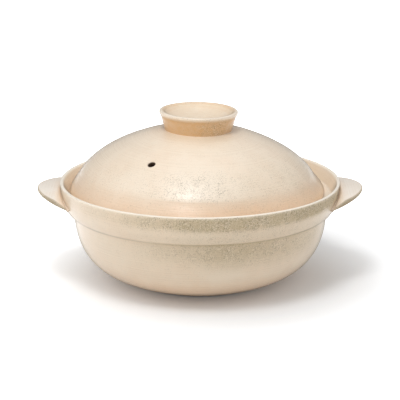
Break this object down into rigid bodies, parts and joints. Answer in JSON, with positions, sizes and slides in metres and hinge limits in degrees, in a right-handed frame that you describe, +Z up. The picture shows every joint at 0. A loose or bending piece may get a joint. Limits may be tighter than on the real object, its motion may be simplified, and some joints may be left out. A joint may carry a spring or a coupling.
{
  "type": "donabe clay pot",
  "caption": "Shallow round clay cooking pot with a ridged collar, half-moon side handles, and a lift-off domed lid with a steam vent and a dished ring knob.",
  "frame": {"origin": "middle of the pot's flat foot, on the surface that it stands on", "axes": "+Z up, +X along the line through both handles, +Y to the back"},
  "size_m": [0.2986, 0.255, 0.1582],
  "materials": {
    "pot_glaze": "satin ash glaze over stoneware, cream with grey speckle",
    "handle_glaze": "satin ash glaze over stoneware, cream",
    "lid_glaze": "satin ash glaze over stoneware, pale cream with grey speckle",
    "knob_glaze": "satin ash glaze over stoneware, warm tan"
  },
  "bodies": {
    "pot": {"pot_body": "pot_glaze", "left_handle": "handle_glaze", "right_handle": "handle_glaze"},
    "lid": {"lid_dome": "lid_glaze", "lid_knob": "knob_glaze"}
  },
  "joints": [
    {"name": "lid_lift", "type": "slide", "parent": "pot", "child": "lid", "axis": [0, 0, 1], "range_m": [0, 0.12]}
  ]
}
